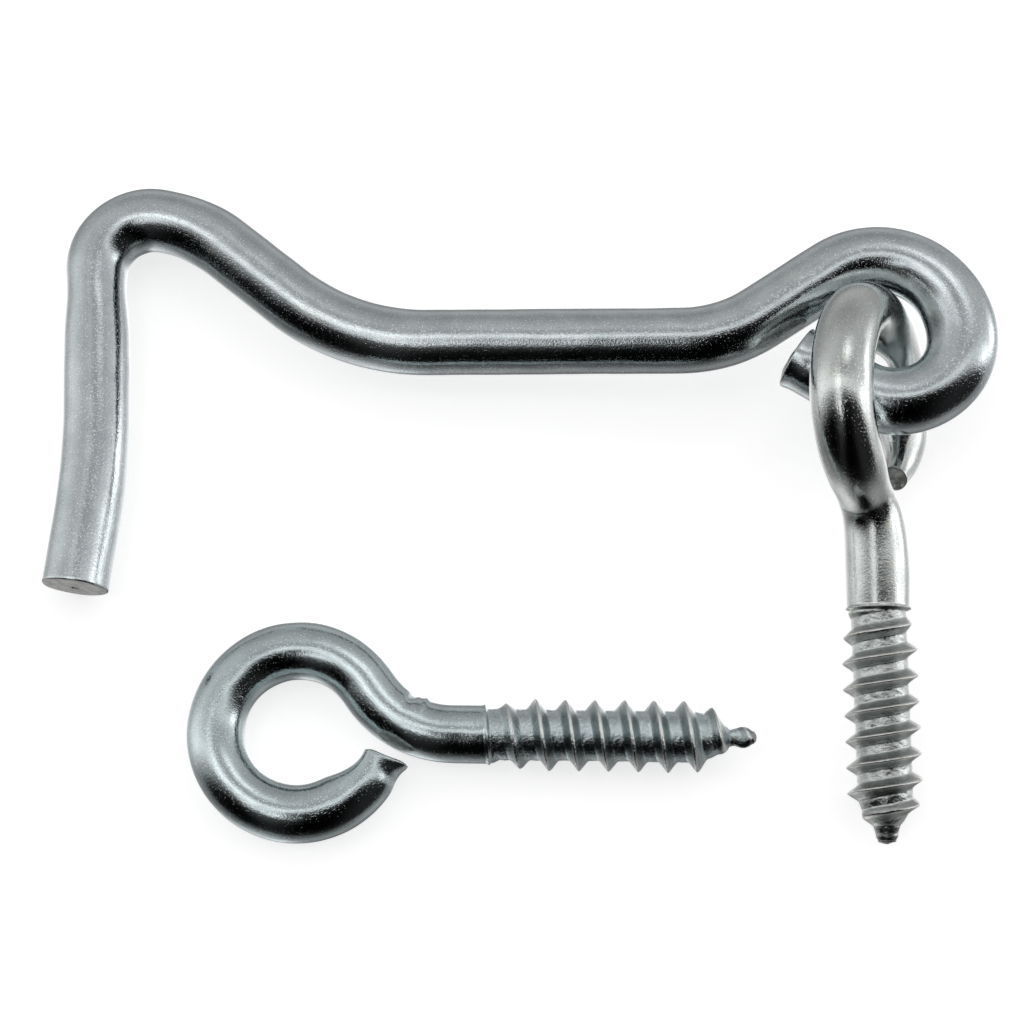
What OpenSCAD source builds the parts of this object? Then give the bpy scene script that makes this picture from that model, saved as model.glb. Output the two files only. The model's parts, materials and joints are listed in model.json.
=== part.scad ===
// Hook and eye latch for a door, gate or shutter, bent from round wire.
// The hook hangs in the ring of its pivot screw eye and swings there; its leg drops into
// the ring of the catch screw eye. The set is laid out flat as it leaves the bag: the
// hook's shank runs along X, +Z is up, and the origin is under the middle of the set.

/* [Hook] */
// Diameter of the hook's wire
hook_wire_d = 5.6; // [4.8:0.1:5.7]
// Length of the straight shank
shank_l = 22; // [14:0.5:40]
// Angle by which the shank drops from the eye, and so makes the low middle
neck_turn = 33.5; // [20:0.5:40]
// Angle by which the shank climbs again to the top bend
rise_turn = 38.75; // [20:0.25:45]
// Centre-line radius of the top bend
top_bend_r = 4.7; // [4:0.1:8]
// Length of the leg's straight upper part
leg_l = 12.3; // [6:0.1:25]
// Angle by which the leg's lower part kicks outwards
toe_turn = 9.5; // [1:0.5:15]
// Length of the straight toe that enters the catch
toe_l = 6.1; // [3:0.1:12]

/* [Hook eye] */
// Centre-line radius of the eye's far half
eye_r = 5.75; // [5.6:0.05:6.5]
// Centre-line radius of the eye's top, which is wider
eye_top_r = 7.25; // [7.1:0.05:8.5]
// Length of the free end that closes the eye
eye_tail_l = 6.2; // [1:0.1:6.4]

/* [Pivot screw eye] */
// Diameter of the wire
pivot_wire_d = 5.2; // [4.4:0.1:5.3]
// Centre-line radius of the ring
pivot_ring_r = 7.5; // [6.6:0.05:8]
// Angle of the ring's arc
pivot_ring_turn = 296; // [270:1:300]
// Distance from the ring's centre to the thread
pivot_plain_l = 17.6; // [13:0.1:25]
// Length of the thread, with its point
pivot_thread_l = 19.6; // [10:0.1:30]
// Crest diameter of the thread
pivot_crest_d = 6.4; // [5.4:0.1:7]
// Pitch of the thread
pivot_pitch = 2.2; // [1.8:0.1:3]

/* [Catch screw eye] */
// Diameter of the wire
catch_wire_d = 5; // [4:0.1:6]
// Centre-line radius of the ring
catch_ring_r = 7; // [6:0.05:8.5]
// Angle of the ring's arc
catch_ring_turn = 306; // [260:1:310]
// Distance from the ring's centre to the thread
catch_plain_l = 15.8; // [14.5:0.1:25]
// Length of the thread, with its point
catch_thread_l = 22.6; // [10:0.1:30]
// Crest diameter of the thread
catch_crest_d = 6.1; // [5.2:0.1:7]
// Pitch of the thread
catch_pitch = 2.5; // [1.8:0.1:3]

/* [Layout] */
// Angle by which the hook leans up onto the pivot ring
hook_lean = 4.35; // [4:0.05:4.7]

/* [Hidden] */

$fn = 64;
// Facets round the screw threads; a turn of thread has as many rows of points
thread_facets = 16;
// Height of the thread's form at fractions of the pitch away from its crest
thread_form = [[0, 1], [0.06, 0.82], [0.12, 0.55], [0.18, 0.28], [0.24, 0.1], [0.32, 0]];

// Centre-line radii of the hook's other bends
neck_r = 12;
rise_r = 20;
crown_r = 13;
toe_r = 60;
// Angles of the two arcs of the eye, and of the crown that leads into the top bend
eye_turn = 143.25;
eye_top_turn = 101.75;
crown_turn = 27;
// Straight lengths on the two slopes, and between two bends that follow each other
neck_l = 7.3;
rise_l = 7;
link_l = 0.4;

// The hook as steps of [length, 0] or [bend radius, turn], from its eye's free end to its toe
hook_steps = [
    [eye_tail_l, 0],
    [eye_r, eye_turn],
    [link_l, 0],
    [eye_top_r, eye_top_turn],
    [neck_l, 0],
    [neck_r, -neck_turn],
    [shank_l, 0],
    [rise_r, -rise_turn],
    [rise_l, 0],
    [crown_r, crown_turn],
    [link_l, 0],
    // this bend turns the leg square to the shank, and 3 degrees further
    [top_bend_r, 93 + rise_turn - crown_turn],
    [leg_l, 0],
    [toe_r, -toe_turn],
    [toe_l, 0]
];
// Direction of the eye's free end, so that the shank comes out along -X
tail_heading = 180 + neck_turn - eye_turn - eye_top_turn;

// Radii of the bends where the screw eyes' necks meet their shanks
pivot_neck_r = 3.6;
catch_neck_r = 8.5;

// Where the pieces lie
hook_at = [32.25, 13.725, 8.15];
hook_heading = -1;
pivot_at = [29.75, 7.78, 9.25];
pivot_angles = [115.7, 10.7, -88.3];
catch_at = [-18.65, -19.55, 2.65];
catch_angles = [0, -0.9, -0.9];

// Straights are this much thinner than bends and reach this far into them, so that each
// piece of wire joins up into one solid
hair = 0.02;
lap = 0.15;

// Bend of wire that starts along +X; a positive turn is to the left
module bend(d, r, turn) {
    translate([0, sign(turn) * r, 0])
        rotate(turn > 0 ? -90 : 90 + turn)
            rotate_extrude(angle = abs(turn)) translate([r, 0]) circle(d = d);
}

// Wire that follows the steps from number i on, starting along +X
module wire_run(d, steps, i = 0) {
    if (i < len(steps)) {
        size = steps[i][0];
        turn = steps[i][1];
        if (turn == 0) {
            before = i > 0 ? lap : 0;
            after = i < len(steps) - 1 ? lap : 0;
            translate([-before, 0, 0]) rotate([0, 90, 0])
                cylinder(d = d - hair, h = before + size + after);
            translate([size, 0, 0]) wire_run(d, steps, i + 1);
        } else {
            side = sign(turn) * size;
            bend(d, size, turn);
            translate([0, side, 0]) rotate(turn) translate([0, -side, 0]) wire_run(d, steps, i + 1);
        }
    }
}

// Radius of a gimlet-pointed core at distance x from the start of a thread of length l
function core_r(x, l, root_d) =
    let (left = (l - x) / (0.9 * root_d))
    left > 1 ? root_d / 2 : 0.35 + (root_d / 2 - 0.35) * sqrt(max(left, 0));

// Height of the thread: it runs out over its first turn, and again into the point
function ridge_h(x, l, root_d, crest_d, pitch) =
    (crest_d - root_d) / 2 * min(1, 0.15 + x / pitch, 0.3 + (l - x) / (1.3 * crest_d));

// Right-hand wood-screw thread along +X, from its flat start to its point
module thread(root_d, crest_d, pitch, l) {
    n = thread_facets;
    rows = round(l / pitch * n);
    points = [
        for (j = [0:rows], i = [0:n - 1])
            let (
                x = j * l / rows,
                // how far round from the crest this point lies, as a fraction of the pitch
                phase = ((j - i) % n + n) % n / n,
                h = ridge_h(x, l, root_d, crest_d, pitch),
                r = core_r(x, l, root_d) + h * lookup(min(phase, 1 - phase), thread_form)
            )
            [x, r * cos(360 * i / n), r * sin(360 * i / n)]
    ];
    walls = [
        for (j = [0:rows - 1], i = [0:n - 1])
            let (a = j * n + i, b = j * n + (i + 1) % n)
            each [[a, a + n, b + n], [a, b + n, b]]
    ];
    start = [for (i = [0:n - 1]) i];
    point = [for (i = [0:n - 1]) rows * n + n - 1 - i];
    polyhedron(points, concat([start], walls, [point]));
}

// Screw eye with its ring centred on the origin and its screw along +X
module screw_eye(wire_d, ring_r, ring_turn, neck_r, plain_l, thread_l, crest_d, pitch) {
    // the neck turns by this much, which centres the ring on the screw
    turn = acos(neck_r / norm([ring_r + neck_r, link_l])) - atan(link_l / (ring_r + neck_r));
    neck_x = (ring_r + neck_r) * sin(turn) + link_l * cos(turn);
    steps = [[ring_r, -ring_turn], [link_l, 0], [neck_r, turn], [plain_l - neck_x, 0]];
    rotate(90 - turn + ring_turn) translate([ring_r, 0, 0]) rotate(-90)
        wire_run(wire_d, steps);
    translate([plain_l - lap, 0, 0]) thread(0.88 * wire_d, crest_d, pitch, thread_l + lap);
}

module hook() {
    color("silver")
        translate(hook_at) rotate([0, -hook_lean, 0]) rotate(hook_heading + tail_heading)
            translate([-eye_tail_l, -eye_r, 0]) wire_run(hook_wire_d, hook_steps);
}

module pivot_screw_eye() {
    color("lightsteelblue")
        translate(pivot_at) rotate(pivot_angles)
            screw_eye(pivot_wire_d, pivot_ring_r, pivot_ring_turn, pivot_neck_r,
                pivot_plain_l, pivot_thread_l, pivot_crest_d, pivot_pitch);
}

module catch_screw_eye() {
    color("lightblue")
        translate(catch_at) rotate(catch_angles)
            screw_eye(catch_wire_d, catch_ring_r, catch_ring_turn, catch_neck_r,
                catch_plain_l, catch_thread_l, catch_crest_d, catch_pitch);
}

hook();
pivot_screw_eye();
catch_screw_eye();
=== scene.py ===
"""Hook and eye latch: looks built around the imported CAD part.

Each of the three pieces is a length of plated round wire. Its skin is one closed mesh, laid
round the piece's centre line: a row of points every fraction of a millimetre, with the cut
ends, nicks, pinched places and rolled threads in the shape itself.
Lengths here are millimetres until a mesh is made, and angles are degrees, apart from phi,
the angle round a wire, which is in radians: 0 is on the left of the way the wire runs.
"""
import json
import math

import bpy
import numpy as np
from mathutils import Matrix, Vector


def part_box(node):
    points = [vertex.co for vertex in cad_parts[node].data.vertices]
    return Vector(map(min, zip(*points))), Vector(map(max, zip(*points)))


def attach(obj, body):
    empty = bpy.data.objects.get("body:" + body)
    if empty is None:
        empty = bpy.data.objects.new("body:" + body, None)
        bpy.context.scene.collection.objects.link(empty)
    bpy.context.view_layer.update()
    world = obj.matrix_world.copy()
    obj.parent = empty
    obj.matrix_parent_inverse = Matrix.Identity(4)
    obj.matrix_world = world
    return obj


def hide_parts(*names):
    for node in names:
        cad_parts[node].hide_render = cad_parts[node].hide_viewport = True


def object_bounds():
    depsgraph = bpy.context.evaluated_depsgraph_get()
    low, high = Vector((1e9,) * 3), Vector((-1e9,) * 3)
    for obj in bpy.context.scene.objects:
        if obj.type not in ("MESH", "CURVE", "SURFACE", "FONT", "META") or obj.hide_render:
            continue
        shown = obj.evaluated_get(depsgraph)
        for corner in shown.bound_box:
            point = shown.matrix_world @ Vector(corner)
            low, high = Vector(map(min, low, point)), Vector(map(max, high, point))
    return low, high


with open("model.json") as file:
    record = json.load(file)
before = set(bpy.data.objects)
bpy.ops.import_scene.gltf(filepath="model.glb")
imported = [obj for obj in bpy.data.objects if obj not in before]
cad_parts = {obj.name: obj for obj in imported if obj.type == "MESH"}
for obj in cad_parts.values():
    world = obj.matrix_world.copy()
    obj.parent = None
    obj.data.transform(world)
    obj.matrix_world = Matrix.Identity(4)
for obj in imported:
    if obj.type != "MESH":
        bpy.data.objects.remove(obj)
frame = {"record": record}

MM = 0.001
ROUND = 96                     # points round a wire
ANGLES = np.arange(ROUND) * 2 * np.pi / ROUND
WIRE_STEP = 0.2                # spacing of rows along plain wire
THREAD_STEP = 0.06             # and along a thread,
FINE_LEAD = 1.5                # from this far before it

cad_low, cad_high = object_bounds()
mounts = {m["name"]: m for m in frame["record"]["mounts"]}


# ---------------------------------------------------------------- centre lines
def turned(axis, degrees):
    """Matrix of a turn about one of the axes x, y and z."""
    c, s = math.cos(math.radians(degrees)), math.sin(math.radians(degrees))
    i = "xyz".index(axis)
    j, k = (i + 1) % 3, (i + 2) % 3
    m = np.eye(3)
    m[j, j], m[j, k], m[k, j], m[k, k] = c, -s, s, c
    return m


def flat_path(steps, fine=0.02):
    """Points of a flat path from steps of (length, 0) or (radius, turn), starting along +X."""
    headings, lengths = [], []
    heading = 0.0
    for size, turn in steps:
        length = size if turn == 0 else size * math.radians(abs(turn))
        n = max(1, round(length / fine))
        headings += [heading + math.radians(turn) * (i + 0.5) / n for i in range(n)]
        lengths += [length / n] * n
        heading += math.radians(turn)
    h, d = np.array(headings), np.array(lengths)
    points = np.zeros((len(h) + 1, 2))
    points[1:, 0] = np.cumsum(np.cos(h) * d)
    points[1:, 1] = np.cumsum(np.sin(h) * d)
    return points, np.concatenate([[0], np.cumsum(d)])


def eased(points, along, reach):
    """The path with its corners between bends and straights eased over a length of reach."""
    step = along[-1] / (len(along) - 1)
    even = np.linspace(0, along[-1], len(along))
    p = np.stack([np.interp(even, along, points[:, k]) for k in (0, 1)], 1)
    n = max(1, round(reach / step))
    before = p[0] + (p[0] - p[1]) * np.arange(n, 0, -1)[:, None]
    after = p[-1] + (p[-1] - p[-2]) * np.arange(1, n + 1)[:, None]
    wide = np.concatenate([before, p, after])
    weight = np.hanning(2 * n + 3)[1:-1]
    weight /= weight.sum()
    return np.stack([np.convolve(wide[:, k], weight, "valid") for k in (0, 1)], 1), even


def rows_at(points, along, where):
    """Position, direction and left-hand normal of a flat path at these distances."""
    p = np.stack([np.interp(where, along, points[:, k]) for k in (0, 1)], 1)
    d = 0.05
    ahead = np.stack([np.interp(where + d, along, points[:, k]) for k in (0, 1)], 1)
    back = np.stack([np.interp(where - d, along, points[:, k]) for k in (0, 1)], 1)
    t = ahead - back
    t /= np.linalg.norm(t, axis=1)[:, None]
    return p, t, np.stack([-t[:, 1], t[:, 0]], 1)


# ---------------------------------------------------------------- shapes of a skin
def bell(x, centre, width):
    """1 at the centre, falling smoothly to 0 by about twice the width."""
    return np.exp(-(((x - centre) / width) ** 2))


def ramp(x, start, end):
    """0 before start, 1 after end, and smooth between."""
    t = np.clip((x - start) / (end - start), 0, 1)
    return t * t * (3 - 2 * t)


def facing(angle, towards, width):
    """1 where the angle round the wire is the one wanted, falling off over width degrees."""
    gap = (np.degrees(angle) - towards + 180) % 360 - 180
    return np.exp(-((gap / width) ** 2))


def dent(s, phi, height, at, length, towards, width):
    """A bump, or with a height below 0 a dent, on one side of a wire."""
    return height * bell(s, at, length) * facing(phi, towards, width)


def waves(seed, along, angle, lengths, turns, count=24):
    """Smooth random waves over a wire's skin, from about -1 to 1."""
    rng = np.random.default_rng(seed)
    total = np.zeros(np.broadcast(along, angle).shape)
    for _ in range(count):
        k = rng.integers(turns[0], turns[1] + 1)
        f = 2 * np.pi / rng.uniform(*lengths)
        total += np.cos(k * angle + f * along * rng.choice([-1, 1]) + rng.uniform(0, 6.283))
    return total / math.sqrt(count / 2) / 1.5


class Skin:
    """Grid of points round a centre line, with closed ends."""

    def __init__(self, steps, reach, spots=None):
        """reach is the length over which bends are eased. spots are the distances along
        the wire where rows lie, evenly spaced if none are given."""
        points, along = flat_path(steps)
        self.path = eased(points, along, reach)
        self.length = self.path[1][-1]
        self.s = np.array(spots if spots is not None else self.even())
        self.phi = ANGLES[None, :]

    def even(self):
        return np.linspace(0, self.length, round(self.length / WIRE_STEP) + 1)

    def shape(self, half_in, half_out, lift=0.0):
        """Sets the half-widths in the plane of the bends and across it, at each row, as
        (rows,) or (rows, round) arrays, and how far each whole row is shifted up."""
        self.half_in = np.broadcast_to(half_in.reshape(len(self.s), -1), (len(self.s), ROUND))
        self.half_out = np.broadcast_to(half_out.reshape(len(self.s), -1), (len(self.s), ROUND))
        self.lift = np.zeros(len(self.s)) + lift

    def grid(self, proud):
        """Points of every row, with the path in the XY plane, the same points on a wire laid
        straight, and the rows' directions. The skin stands proud of its half-widths."""
        p, t, n = rows_at(self.path[0], self.path[1], self.s)
        across = self.half_in + proud
        upward = self.half_out + proud
        left = across * np.cos(self.phi)
        out = np.empty((len(self.s), ROUND, 3))
        out[:, :, :2] = p[:, None, :] + n[:, None, :] * left[:, :, None]
        out[:, :, 2] = upward * np.sin(self.phi) + self.lift[:, None]
        rest = np.stack([
            np.broadcast_to(self.s[:, None], left.shape), left, upward * np.sin(self.phi)], 2)
        return out, rest, t


def end_rows(ring, rest, outward, rim, face):
    """Rows that close an end: a rounded rim, then a face that runs in to the middle.
    face gives how far the face stands out, from the share of its radius and the angle.
    The third list is 1 for rows on the cut face, and 0 for plated ones."""
    middle = ring.mean(0)
    middle_rest = rest.mean(0)
    radius = np.linalg.norm(ring - middle, axis=1)
    rows, rests, inside = [], [], []
    outward3 = np.array([outward[0], outward[1], 0.0])
    for turn in (30, 60, 90):
        draw = rim * (1 - math.cos(math.radians(turn)))
        push = rim * math.sin(math.radians(turn))
        keep = (1 - draw / radius)[:, None]
        rows.append(middle + (ring - middle) * keep + outward3 * push)
        rests.append(middle_rest + (rest - middle_rest) * keep)
        inside.append(0.0 if turn < 60 else 1.0)
    edge = (radius - rim) / radius
    for share in (0.93, 0.84, 0.73, 0.6, 0.46, 0.32, 0.19, 0.08):
        keep = (edge * share)[:, None]
        push = rim + face(share, ANGLES) * min(1.0, (1 - share) * 6)
        rows.append(middle + (ring - middle) * keep + outward3 * np.reshape(push, (-1, 1)))
        rests.append(middle_rest + (rest - middle_rest) * keep)
        inside.append(1.0)
    return rows, rests, inside


def closed_mesh(name, grid, rest, marks, start, end, place, shift):
    """Mesh object from the grid and its end rows. place is a 3x3 matrix in front of shift."""
    rows = list(reversed(start[0])) + list(grid) + list(end[0])
    rests = list(reversed(start[1])) + list(rest) + list(end[1])
    cut = list(reversed(start[2])) + [0.0] * len(grid) + list(end[2])
    before, after = len(start[0]), len(end[0])
    n = len(rows)
    points = np.concatenate(rows + [rows[0].mean(0)[None], rows[-1].mean(0)[None]])
    resting = np.concatenate(rests + [rests[0].mean(0)[None], rests[-1].mean(0)[None]])
    cut = np.concatenate([np.repeat(np.array(cut), ROUND), [1.0, 1.0]])
    points = (points @ place.T + shift) * MM
    i, j = np.meshgrid(np.arange(n - 1), np.arange(ROUND), indexing="ij")
    k = (j + 1) % ROUND
    quads = np.stack([i * ROUND + j, i * ROUND + k, (i + 1) * ROUND + k, (i + 1) * ROUND + j], 2)
    faces = [tuple(q) for q in quads.reshape(-1, 4)[:, ::-1].tolist()]
    first, last = n * ROUND, n * ROUND + 1
    top = (n - 1) * ROUND
    for a in range(ROUND):
        b = (a + 1) % ROUND
        faces.append((first, a, b)[::-1])
        faces.append((last, top + b, top + a)[::-1])
    mesh = bpy.data.meshes.new(name)
    mesh.from_pydata(points.tolist(), [], faces)
    mesh.update()
    mesh.polygons.foreach_set("use_smooth", [True] * len(mesh.polygons))
    mesh.attributes.new("wire", "FLOAT_VECTOR", "POINT").data.foreach_set(
        "vector", resting.astype(np.float32).ravel())
    layers = {"cut": cut}
    for mark, values in marks.items():
        values = np.broadcast_to(values, grid.shape[:2])
        layers[mark] = np.concatenate([
            np.tile(values[0], before), values.ravel(), np.tile(values[-1], after), [0.0, 0.0]])
    for mark, values in layers.items():
        mesh.attributes.new(mark, "FLOAT", "POINT").data.foreach_set(
            "value", values.astype(np.float32))
    made = bpy.data.objects.new(name, mesh)
    bpy.context.scene.collection.objects.link(made)
    return made


def box_middle(grid, place):
    """Middle of the box round a grid of points, once placed."""
    p = grid.reshape(-1, 3) @ place.T
    return (p.min(0) + p.max(0)) / 2


# ---------------------------------------------------------------- hook
# the same wire as the CAD hook's
TAIL, EYE_R, EYE_TURN, LINK = 6.2, 5.75, 143.25, 0.4
EYE_TOP_R, EYE_TOP_TURN = 7.25, 101.75
NECK_TURN, RISE_TURN, CROWN_TURN = 33.5, 38.75, 27
HOOK_STEPS = [
    (TAIL, 0), (EYE_R, EYE_TURN), (LINK, 0), (EYE_TOP_R, EYE_TOP_TURN), (7.3, 0),
    (12, -NECK_TURN), (22, 0), (20, -RISE_TURN), (7, 0), (13, CROWN_TURN), (LINK, 0),
    (4.7, 93 + RISE_TURN - CROWN_TURN), (12.3, 0), (60, -9.5), (6.1, 0)]
HOOK_HALF = 2.85               # radius of the wire with its plating
HOOK_EASING = 1.1
HOOK_LEAN, HOOK_HEADING = 4.35, -1


def lengths_of(steps):
    """Distance along the wire at which each step ends."""
    sizes = [r if turn == 0 else r * math.radians(abs(turn)) for r, turn in steps]
    return np.cumsum(sizes)


def make_hook():
    ends = lengths_of(HOOK_STEPS)
    eye_end, eye_top_end, bend_start, bend_end = ends[1], ends[3], ends[10], ends[11]
    skin = Skin(HOOK_STEPS, HOOK_EASING)
    s, phi = skin.s[:, None], skin.phi
    place = (turned("y", -HOOK_LEAN)
             @ turned("z", HOOK_HEADING + 180 + NECK_TURN - EYE_TURN - EYE_TOP_TURN))
    # the plain wire is centred on the CAD hook's own box
    plain = np.full(len(skin.s), HOOK_HALF)
    skin.shape(plain, plain)
    low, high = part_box("hook")
    shift = np.array((low + high) / 2) / MM - box_middle(skin.grid(0)[0], place)

    outer = 0.5 - 0.5 * np.cos(phi)      # 1 on the outside of the left-hand bends
    inner = 1 - outer
    # the eye's wire is spread outwards where it is bent round the ring, and inwards beyond
    spread = 0.16 * bell(s, ends[0] + 10.5, 5.5) * outer ** 1.5
    spread = spread + 0.28 * bell(s, ends[0] + 13, 4.0) * inner ** 1.5
    # drawn thinner on both sides of the top bend, and back to full width down the leg
    thin = 0.26 * bell(s, bend_end + 1.6, 2.6) + 0.1 * bell(s, bend_start - 1.0, 2.4)
    fuller = 0.04 * ramp(s, bend_end + 4, bend_end + 10)
    half_in = HOOK_HALF + spread - thin + fuller
    half_out = HOOK_HALF + 0 * s * phi - 0.03 * bell(s, (bend_start + bend_end) / 2, 3)
    skin.shape(half_in, half_out)

    proud = 0.014 * waves(3, s, phi, (9, 30), (1, 3))
    proud = proud + 0.006 * waves(4, s, phi, (2.5, 7), (2, 7))
    # soft lengthwise flats that the straightening rolls left on the leg
    leg = ramp(s, bend_end + 1, bend_end + 5)
    proud = proud + 0.035 * leg * np.cos(5 * phi + 0.6)
    # the free end of the eye was nipped off: it is pressed flatter from above
    proud = proud + dent(s, phi, -0.30, 0.2, 1.1, 55, 42)
    proud = proud + dent(s, phi, -0.22, 1.9, 0.9, 110, 35)
    proud = proud + dent(s, phi, 0.16, 0.0, 0.5, 175, 26)
    grid, rest, t = skin.grid(proud)

    def tail_face(share, a):
        return (-0.18 * share * np.cos(a + 0.4) + 0.10 * np.sin(3 * a + 1) * share
                + 0.05 * np.cos(7 * a) * share)

    def toe_face(share, a):
        return (0.10 * (1 - share) - 0.05 * share * np.sin(a)
                + 0.02 * np.cos(5 * a + 4 * share) * share)

    start = end_rows(grid[0], rest[0], -t[0], 0.16, tail_face)
    end = end_rows(grid[-1], rest[-1], t[-1], 0.14, toe_face)
    no_thread = {"thread": 0.0, "flank": 0.0}
    hook = closed_mesh("hook_wire", grid, rest, no_thread, start, end, place, shift)
    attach(hook, "hook")
    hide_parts("hook")
    return hook


# ---------------------------------------------------------------- screw eyes
THREAD_SOFT = 0.10             # how far the thread's crest is rounded
THREAD_FORM = 0.28             # half-width of its form, as a share of the pitch


def core_radius(u, length, root, taper, waist, nib):
    """Radius of a gimlet-pointed core at distance u from the start of the thread. It
    narrows over a length of taper to its waist, behind a nib of this length."""
    left = np.clip((length - nib - u) / taper, 0, 1)
    return waist + (root - waist) * np.sin(left * np.pi / 2) ** 0.8


def ridge(u, angle, pitch, first, form_width):
    """Height from 0 to 1 of a right-hand thread whose crest passes angle 0 at u = first, and
    the distance from the crest."""
    d = np.abs((u - first - pitch * angle / (2 * np.pi) + pitch / 2) % pitch - pitch / 2)
    d = np.sqrt(d * d + THREAD_SOFT * THREAD_SOFT) - THREAD_SOFT
    return np.clip(1 - d / form_width, 0, 1) ** 1.2, d


def screw_eye_frame(mount, roll, plain):
    """Turning matrix and ring centre of a screw eye, from its record mount."""
    ax, ay, az = mount["axis"]
    place = (turned("z", math.degrees(math.atan2(ay, ax)))
             @ turned("y", math.degrees(math.asin(-az))) @ turned("x", roll))
    centre = np.array(mount["pos_m"]) / MM - np.array(mount["axis"]) * plain
    return place, centre


def screw_eye_steps(ring_r, ring_turn, neck_r, plain):
    """Steps of the wire from the ring's free end to the thread, and the matrix and offset
    that bring the ring's centre to the origin with the screw along +X."""
    turn = (math.degrees(math.acos(neck_r / math.hypot(ring_r + neck_r, LINK)))
            - math.degrees(math.atan(LINK / (ring_r + neck_r))))
    neck_x = (ring_r + neck_r) * math.sin(math.radians(turn)) + LINK * math.cos(math.radians(turn))
    steps = [(ring_r, -ring_turn), (LINK, 0), (neck_r, turn), (plain - neck_x, 0)]
    start = 90 - turn + ring_turn
    return steps, turned("z", start - 90), turned("z", start) @ np.array([ring_r, 0, 0])


def make_screw_eye(name, mount, node, roll, ring_r, ring_turn, neck_r, plain, easing,
                   length, root, crest, pitch, first, taper, waist, nib, flat, look):
    """One screw eye. roll turns its ring about the screw, and first is where the thread's
    crest passes angle 0. The point tapers to its waist, behind a nib of half-width flat.
    look(s, phi, ring) gives what is the eye's own, with its ring's length along the wire:
    the plain wire's half-widths, its shift upwards and how proud the skin stands."""
    steps, spin, offset = screw_eye_steps(ring_r, ring_turn, neck_r, plain)
    wire = lengths_of(steps)[-1]
    spots = np.concatenate([
        np.linspace(0, wire - FINE_LEAD, round((wire - FINE_LEAD) / WIRE_STEP) + 1),
        np.linspace(wire - FINE_LEAD, wire + length,
                    round((length + FINE_LEAD) / THREAD_STEP) + 1)[1:]])
    skin = Skin(steps + [(length, 0)], easing, spots)
    s, phi = skin.s[:, None], skin.phi
    u = s - wire                         # distance past the start of the thread
    place, centre = screw_eye_frame(mount, roll, plain)

    core = core_radius(u, length, root, taper, waist, nib)
    # the wire tore off at the tip, which leaves a flattened nib
    torn = bell(u, length - 0.45 * nib, 0.36 * nib)
    core_in = core + (flat - waist) * torn - 0.25 * waist * bell(u, length, 0.3)
    core_out = core - 0.15 * waist * torn - 0.3 * waist * bell(u, length, 0.3)
    form, gap = ridge(u, phi, pitch, first, THREAD_FORM * pitch)
    turns_in = (u - 0.35) / pitch
    grow = np.clip(0.25 + 0.55 * turns_in, 0, 1) * ramp(u, 0.0, 0.5)
    fade = np.clip((length - u - 0.8 * nib) / (0.75 * pitch), 0, 1) ** 0.6
    height = (crest - root) * grow * (0.35 + 0.65 * ramp(length - u, 0.9, 4.2)) * fade * form
    # the plain wire stops at a rolled step, a little askew
    step_at = 0.18 - 0.2 * np.cos(phi)
    rolled = ramp(u, step_at - 0.02, step_at + 0.22)
    bead = 0.10 * bell(u, step_at - 0.02, 0.13)

    # the crest mark carries a painted highlight along the thread's crests, and the flank mark
    # painted shade on its flanks
    marks = {"thread": rolled, "crest": rolled * np.clip(1 - gap / 0.10, 0, 1) * grow,
             "flank": rolled * grow * ramp(form, 0.02, 0.3) * (1 - ramp(form, 0.75, 0.95))}
    half_in, half_out, lift, proud = look(s, phi, ring_r * math.radians(ring_turn))
    mixed_in = half_in * (1 - rolled) + (core_in + height) * rolled
    mixed_out = half_out * (1 - rolled) + (core_out + height) * rolled
    skin.shape(mixed_in, mixed_out, lift)
    proud = proud + bead * (1 + 0.5 * np.cos(26 * phi) * facing(phi, 250, 80))
    # pits and smears that rolling leaves on the roots and crests
    rough = rolled * fade
    proud = proud + rough * 0.012 * waves(11 + len(name), s, phi, (0.5, 1.6), (2, 14), 60)
    grid, rest, t = skin.grid(proud)

    def cut_face(share, a):
        return -0.16 * share * np.cos(a + 2.2) + 0.09 * share * np.sin(3 * a + len(name))

    def nib_face(share, a):
        return 0.18 * (1 - share) + 0.08 * share * np.cos(2 * a)

    start = end_rows(grid[0], rest[0], -t[0], 0.12, cut_face)
    end = end_rows(grid[-1], rest[-1], t[-1], 0.10, nib_face)
    eye = closed_mesh(name, grid, rest, marks, start, end, place @ spin,
                      place @ offset + centre)
    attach(eye, node)
    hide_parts(node)
    return eye


def pivot_look(s, phi, ring):
    half = 2.64
    # the far strand was squeezed thin where it passes through the hook's eye
    squeezed = 2.5 * bell(s, 12.5, 3.6) + 1.5 * bell(s, 2.0, 4.5)
    squeezed = squeezed * (1 - ramp(s, 14.5, 20.5))
    # and nipped off aslant, which leaves a blunt wedge
    wedge = 1 - ramp(s, -0.5, 5.5)
    half_in = half - 1.45 * wedge + 0 * phi
    half_out = half - squeezed / 2 - 0.85 * wedge + 0 * phi
    lift = -squeezed[:, 0] / 2
    proud = 0.016 * waves(21, s, phi, (8, 22), (1, 3)) + 0.006 * waves(22, s, phi, (2, 6), (2, 7))
    # the neck was pulled thinner on its right, and has a fine kink across its front
    kink = ring + LINK + 1.95
    proud = proud + dent(s, phi, -0.62, kink - 0.6, 2.6, 236, 75)
    proud = proud + 0.018 * bell(s, kink, 0.2)
    # and the shank is spread a little where the thread begins
    proud = proud + dent(s, phi, 0.14, ring + LINK + 8.5, 2.6, 236, 70)
    return half_in, half_out, lift, proud


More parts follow.
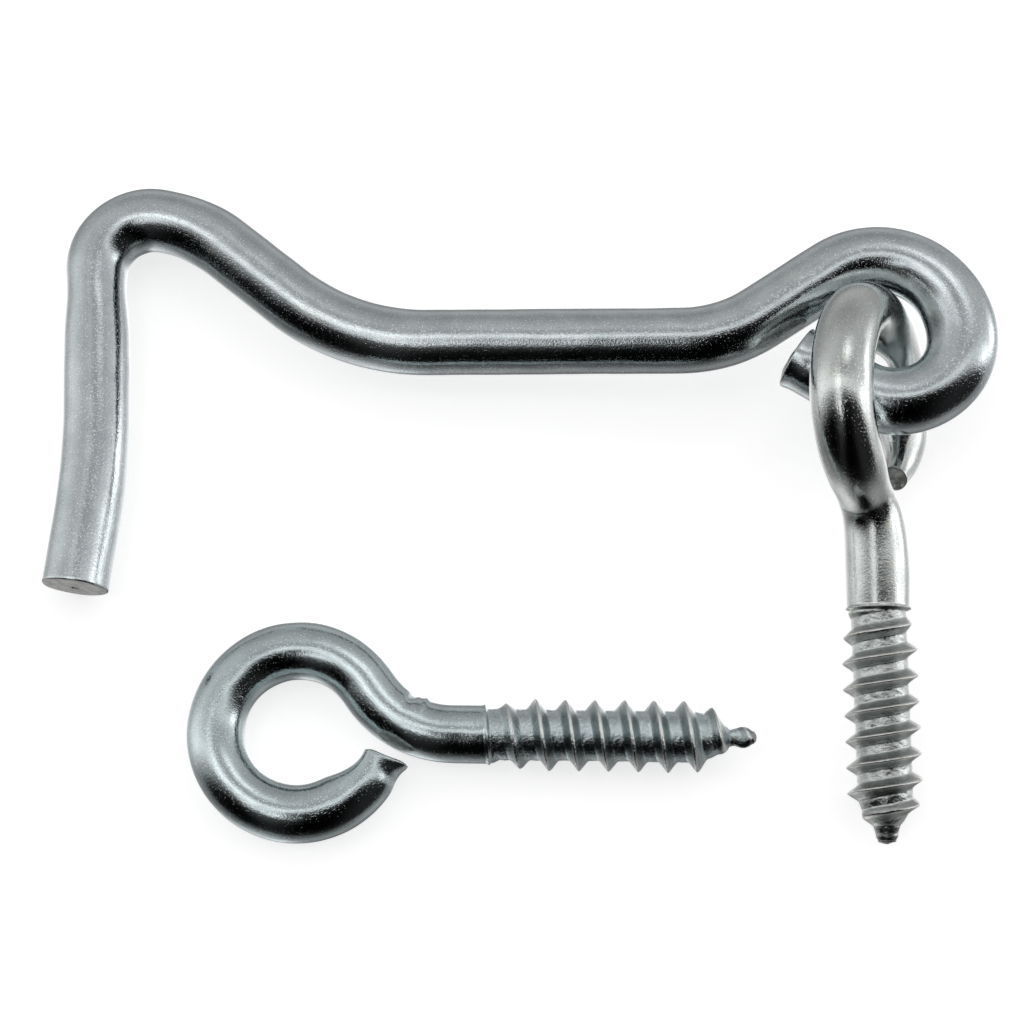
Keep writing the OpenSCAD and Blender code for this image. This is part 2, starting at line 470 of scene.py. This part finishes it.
def catch_look(s, phi, ring):
    half = 2.46
    inner = 0.5 - 0.5 * np.cos(phi)      # 1 towards the ring's centre, on the right
    # the free end is pinched on its inner side, and its cut left a lip on the outer side
    pinch = 1.35 * (1 - ramp(s, -0.5, 5.5)) * inner ** 1.2
    half_in = half - pinch
    half_out = half - 0.12 * (1 - ramp(s, 0, 3.0)) + 0 * phi
    proud = 0.016 * waves(31, s, phi, (8, 22), (1, 3)) + 0.006 * waves(32, s, phi, (2, 6), (2, 7))
    proud = proud + dent(s, phi, 0.50, 0.0, 0.45, 20, 26)
    proud = proud + dent(s, phi, -0.22, 1.0, 0.6, 20, 40)
    # a nick on the back of the neck, with the metal it raised beyond it
    nick = ring + LINK + 3.6
    proud = proud + dent(s, phi, -0.36, nick, 0.40, 25, 30)
    proud = proud + dent(s, phi, 0.24, nick + 1.6, 0.35, 30, 24)
    return half_in, half_out, 0.0, proud


# ---------------------------------------------------------------- material
class Nodes:
    """Short ways to add shader nodes to a tree."""

    def __init__(self, tree):
        self.tree = tree

    def add(self, kind, operation=None, **inputs):
        """A node with its inputs set or linked: i0, i1 and so on by number, others by name."""
        node = self.tree.nodes.new(kind)
        if operation:
            node.operation = operation
        for key, value in inputs.items():
            numbered = key[0] == "i" and key[1:].isdigit()
            socket = node.inputs[int(key[1:]) if numbered else key]
            if isinstance(value, bpy.types.NodeSocket):
                self.tree.links.new(value, socket)
            else:
                socket.default_value = value
        return node

    def math(self, operation, a, b=0.0):
        return self.add("ShaderNodeMath", operation, i0=a, i1=b).outputs[0]

    def spread(self, value, low, high, start=0.0, end=1.0):
        """value mapped from the range low-high to start-end, held at the ends."""
        node = self.add("ShaderNodeMapRange", Value=value)
        for key, number in zip(("From Min", "From Max", "To Min", "To Max"),
                               (low, high, start, end)):
            node.inputs[key].default_value = number
        return node.outputs[0]

    def noise(self, where, scale, detail=2.0, rough=0.5):
        node = self.add("ShaderNodeTexNoise", Vector=where)
        node.inputs["Scale"].default_value = scale
        node.inputs["Detail"].default_value = detail
        node.inputs["Roughness"].default_value = rough
        return node.outputs["Fac"]

    def blend(self, share, a, b):
        node = self.tree.nodes.new("ShaderNodeMix")
        node.data_type = "RGBA"
        for socket, value in ((0, share), (6, a), (7, b)):
            if isinstance(value, bpy.types.NodeSocket):
                self.tree.links.new(value, node.inputs[socket])
            else:
                node.inputs[socket].default_value = value if socket == 0 else (*value, 1)
        return node.outputs[2]

    def bump(self, height, depth_mm, under=None):
        node = self.add("ShaderNodeBump", Height=height)
        node.inputs["Distance"].default_value = depth_mm * MM
        node.inputs["Strength"].default_value = 1.0
        if under is not None:
            self.tree.links.new(under, node.inputs["Normal"])
        return node.outputs[0]


def shade(colour, amount):
    return tuple(min(1.0, c * amount) for c in colour)


def zinc(name, tint, stain_tint, seed, mottle=1.0):
    """Bright zinc on drawn wire: fine grains, lines along the wire, pale specks painted as
    glints, a soft mottle and stains of another tint. Threads are duller, with painted shade
    on their flanks and a painted highlight along their crests, and cut faces are bare."""
    m = bpy.data.materials.new(name)
    m.use_nodes = True
    n = Nodes(m.node_tree)
    shader = m.node_tree.nodes["Principled BSDF"]
    shader.inputs["Metallic"].default_value = 1.0

    def mark(kind, output="Fac"):
        node = n.add("ShaderNodeAttribute")
        node.attribute_name = kind
        return node.outputs[output]

    rest = n.add("ShaderNodeVectorMath", "ADD", i0=mark("wire", "Vector"), i1=(seed, 0, 0))
    rest = rest.outputs[0]
    drawn = n.add("ShaderNodeVectorMath", "MULTIPLY", i0=rest, i1=(0.07, 1, 1)).outputs[0]
    cut, crest, thread = mark("cut"), mark("crest"), mark("thread")

    clouds = n.noise(rest, 0.45, 3, 0.55)
    stain = n.spread(n.noise(rest, 0.9, 4, 0.65), 0.56, 0.74)
    lines = n.noise(drawn, 5.0, 3, 0.6)
    grain = n.noise(rest, 4.5, 2, 0.6)
    fine = n.noise(rest, 9.0, 2, 0.6)
    fleck_glints = n.spread(n.noise(rest, 6.5, 1, 0.5), 0.62, 0.70)

    plate = n.blend(n.spread(clouds, 0.35, 0.65), shade(tint, 0.92), shade(tint, 1.06))
    plate = n.blend(n.math("MULTIPLY", stain, 0.35 * mottle), plate, stain_tint)
    plate = n.blend(n.math("MULTIPLY", n.spread(lines, 0.3, 0.5, 1, 0), 0.14), plate,
                    shade(tint, 0.6))
    plate = n.blend(n.math("MULTIPLY", n.spread(grain, 0.28, 0.42, 1, 0), 0.35), plate,
                    shade(tint, 0.55))
    # pale specks painted into the metal's colour as glints; the same specks also bump the surface
    plate = n.blend(n.math("MULTIPLY", fleck_glints, 0.6), plate, (0.93, 0.94, 0.93))
    # painted shade: the thread's flanks are darkened where its grooves fall into shade
    plate = n.blend(n.math("MULTIPLY", mark("flank"), 0.75), plate, shade(tint, 0.5))
    # a painted highlight: a thin near-white line along the thread's crests
    plate_with_crest_highlight = n.blend(n.math("MULTIPLY", crest, 0.85), plate, (0.90, 0.89, 0.85))
    bare = n.blend(n.spread(n.noise(rest, 1.6, 3, 0.6), 0.4, 0.6), (0.34, 0.345, 0.34),
                   (0.52, 0.515, 0.49))
    n.tree.links.new(n.blend(cut, plate_with_crest_highlight, bare), shader.inputs["Base Color"])

    rough = n.math("ADD", n.spread(clouds, 0.3, 0.7, 0.055, 0.095),
                   n.spread(fine, 0.3, 0.7, -0.02, 0.03))
    rough = n.math("ADD", rough, n.math("MULTIPLY", thread, 0.05))
    rough = n.math("ADD", rough, n.math("MULTIPLY", cut, 0.28))
    n.tree.links.new(rough, shader.inputs["Roughness"])

    relief = n.bump(lines, 0.007)
    relief = n.bump(grain, 0.009, relief)
    relief = n.bump(fine, 0.005, relief)
    relief = n.bump(fleck_glints, 0.005, relief)
    coarse = n.math("MULTIPLY", n.noise(rest, 4.5, 3, 0.65),
                    n.math("ADD", thread, cut))
    relief = n.bump(coarse, 0.04, relief)
    n.tree.links.new(relief, shader.inputs["Normal"])
    return m


# ---------------------------------------------------------------- pieces
# the rings' arcs are longer than the CAD's by the thin metal at their ends
hook = make_hook()
pivot = make_screw_eye(
    "pivot_eye_wire", mounts["pivot_screw"], "pivot_screw_eye", roll=115.7,
    ring_r=7.5, ring_turn=306, neck_r=4.4, plain=17.6, easing=2.6,
    length=19.6, root=2.32, crest=3.2, pitch=2.18, first=2.07,
    taper=2.6, waist=1.15, nib=1.3, flat=0.95, look=pivot_look)
catch = make_screw_eye(
    "catch_eye_wire", mounts["catch_screw"], "catch_screw_eye", roll=0.0,
    ring_r=7.0, ring_turn=308, neck_r=8.5, plain=15.8, easing=0.9,
    length=22.6, root=2.15, crest=3.03, pitch=2.5, first=1.627,
    taper=3.2, waist=0.63, nib=2.0, flat=0.92, look=catch_look)
hook.data.materials.append(
    zinc("hook_zinc_plate", (0.61, 0.665, 0.685), (0.70, 0.68, 0.58), 0))
pivot.data.materials.append(
    zinc("pivot_zinc_plate", (0.65, 0.68, 0.67), (0.72, 0.69, 0.54), 300, 1.3))
catch.data.materials.append(
    zinc("catch_zinc_plate", (0.595, 0.675, 0.69), (0.64, 0.69, 0.64), 600, 0.6))

# ---------------------------------------------------------------- stage
def soft_light(n, direction, azimuth, elevation, tight, strength):
    """Brightness of one soft box, seen in this direction. tight is how quickly it falls off
    along X, Y and Z."""
    a, e = math.radians(azimuth), math.radians(elevation)
    at = (math.sin(a) * math.cos(e), -math.cos(a) * math.cos(e), math.sin(e))
    away = n.add("ShaderNodeVectorMath", "SUBTRACT", i0=direction, i1=at).outputs[0]
    away = n.add("ShaderNodeVectorMath", "MULTIPLY", i0=away, i1=tight).outputs[0]
    gap = n.add("ShaderNodeVectorMath", "DOT_PRODUCT", i0=away, i1=away).outputs["Value"]
    fall = n.math("EXPONENT", n.math("MULTIPLY", gap, -1.0))
    return n.math("MULTIPLY", fall, strength)


# brightness of the tent as a whole: glow / BASE, then ** CONTRAST, then * EXPOSURE
BASE, CONTRAST, EXPOSURE = 0.66, 1.25, 1.14
CLOTH_BLACK = 0.86             # share of the light that the cloth swallows
BACKDROP = (0.93, 0.93, 0.93)  # what the camera sees past the paper
SOFT_LIGHTS = [
    # azimuth (0 in front, 90 to the right), elevation, falloff along X, Y and Z, strength
    (-46, 63, (6.2, 2.1, 0.4), 0.50),     # strip above and to the left
    (-21, 64, (11.0, 5.2, 0.5), 0.85),    # and its narrower neighbour
    (156, 58, (4.7, 7.6, 0.2), 0.55),     # narrow strip behind
    (104, -5, (1.5, 4.9, 5.0), 0.80),     # low card on the right
    (89, 18, (1.7, 9.3, 4.5), 0.62),      # strip above it
    (-132, 30, (0.2, 1.6, 1.2), 0.38),    # wide wall behind and to the left
    (176, -20, (1.0, 0.6, 2.4), 0.25),    # the back of the tent, and its floor
    (-150, 88, (1.0, 8.0, 1.0), 0.42),    # tube overhead, from left to right
    (45, 16, (3.9, 2.0, 0.2), 0.12),      # faint fill in front
    (133, -65, (0.7, 3.6, 2.9), 0.60),    # table on the right, behind
    (-93, 4, (0.3, 3.1, 1.4), 0.42),      # wall on the left
    (0, -52, (0.6, 2.0, 3.0), 0.20),      # table in front
]
world = bpy.data.worlds.new("studio")
bpy.context.scene.world = world
world.use_nodes = True
n = Nodes(world.node_tree)
direction = n.add("ShaderNodeTexCoord").outputs["Generated"]
glow = 0.0
for azimuth, height, tight, strength in SOFT_LIGHTS:
    glow = n.math("ADD", soft_light(n, direction, azimuth, height, tight, strength / BASE), glow)
# a black cloth hangs in front, from a little below the table's top to about 60 degrees up,
# and except on the left it reaches back to almost overhead
part = n.add("ShaderNodeSeparateXYZ", Vector=direction)
to_right, to_back, to_top = part.outputs["X"], part.outputs["Y"], part.outputs["Z"]
in_front = n.math("MULTIPLY", n.spread(to_back, -0.45, -0.25, 1, 0),
                  n.spread(to_top, 0.82, 0.90, 1, 0))
overhead = n.math("MULTIPLY", n.spread(to_back, -0.25, -0.12, 1, 0),
                  n.spread(to_right, -0.21, -0.14))
cloth = n.math("MULTIPLY", n.math("MAXIMUM", in_front, overhead),
               n.spread(to_top, -0.30, -0.10))
glow = n.math("MULTIPLY", n.math("POWER", glow, CONTRAST), EXPOSURE)
glow = n.math("MULTIPLY", glow, n.math("SUBTRACT", 1.0, n.math("MULTIPLY", cloth, CLOTH_BLACK)))
seen = n.add("ShaderNodeLightPath").outputs["Is Camera Ray"]
sky = world.node_tree.nodes["Background"]
grey = n.add("ShaderNodeCombineColor", i0=glow, i1=glow, i2=glow).outputs[0]
n.tree.links.new(n.blend(seen, grey, BACKDROP), sky.inputs["Color"])

bpy.ops.mesh.primitive_plane_add(size=3, location=(0, 0, cad_low.z))
floor = bpy.context.object
floor.name = "floor"
# the metal mirrors the tent rather than the paper under it
floor.visible_glossy = False
paper = bpy.data.materials.new("white_paper")
paper.use_nodes = True
sheet = paper.node_tree.nodes["Principled BSDF"]
sheet.inputs["Base Color"].default_value = (0.85, 0.85, 0.85, 1)
sheet.inputs["Roughness"].default_value = 1.0
sheet.inputs["Emission Color"].default_value = (1, 1, 1, 1)
sheet.inputs["Emission Strength"].default_value = 0.70
floor.data.materials.append(paper)
bpy.context.scene.view_settings.view_transform = "Standard"

# ---------------------------------------------------------------- camera
AIM = Vector((-0.59, -0.4, -6.25))     # from the middle of the CAD's box
ELEVATION, DISTANCE = 75, 0.245        # degrees, metres
target = (cad_low + cad_high) / 2 + AIM * MM
elevation = math.radians(ELEVATION)
back = Vector((0, -math.cos(elevation), math.sin(elevation)))
camera_data = bpy.data.cameras.new("camera")
camera_data.lens = 100
camera_data.sensor_width = 36
camera_data.clip_start = 0.01
camera = bpy.data.objects.new("camera", camera_data)
bpy.context.scene.collection.objects.link(camera)
camera.location = target + back * DISTANCE
camera.rotation_mode = "QUATERNION"
camera.rotation_quaternion = (-back).to_track_quat("-Z", "Y")
bpy.context.scene.camera = camera
